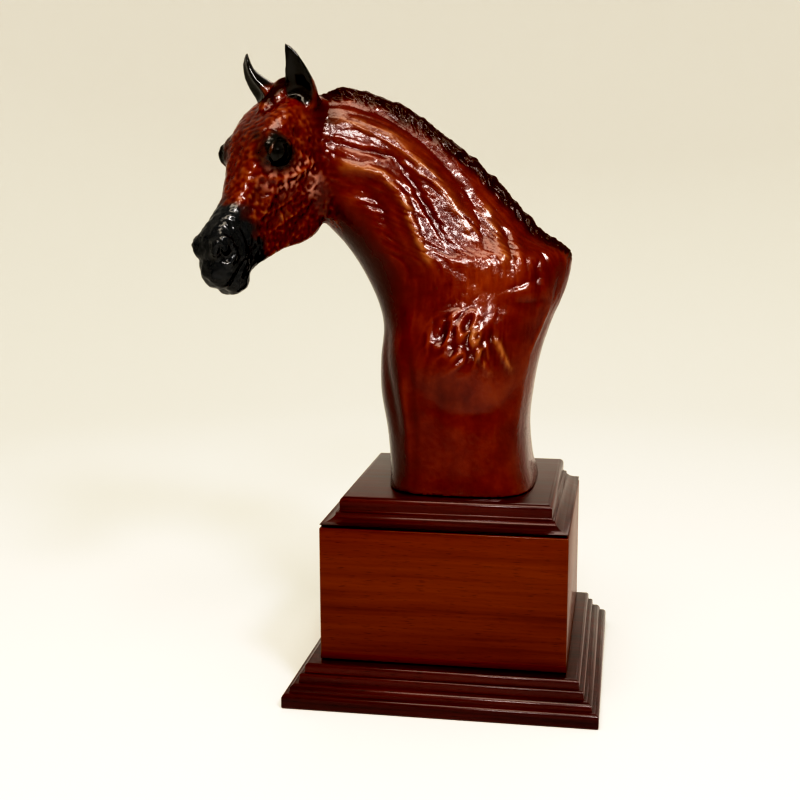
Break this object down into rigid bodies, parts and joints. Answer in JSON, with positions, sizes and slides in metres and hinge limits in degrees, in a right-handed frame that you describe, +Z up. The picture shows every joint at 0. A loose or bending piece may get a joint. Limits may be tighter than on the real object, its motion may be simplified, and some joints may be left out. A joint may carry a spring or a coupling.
{
  "type": "horse trophy",
  "caption": "Trophy with a glazed cast head and neck of a horse, its head turned to the front, standing on a stepped square wooden plinth with moulded boards.",
  "frame": {"origin": "middle of the plinth's underside", "axes": "+Z up; the plinth's front faces -Y; the horse looks to -X with its head turned towards the front"},
  "size_m": [0.1858, 0.145, 0.3015],
  "materials": {
    "dark_mahogany": "dark stained and lacquered",
    "mahogany": "stained and lacquered",
    "bay_glaze": "cast resin with a high gloss glaze"
  },
  "bodies": {
    "root": {"base_board": "dark_mahogany", "plinth_block": "mahogany", "cap_board": "dark_mahogany", "horse_bust": "bay_glaze"}
  },
  "joints": []
}
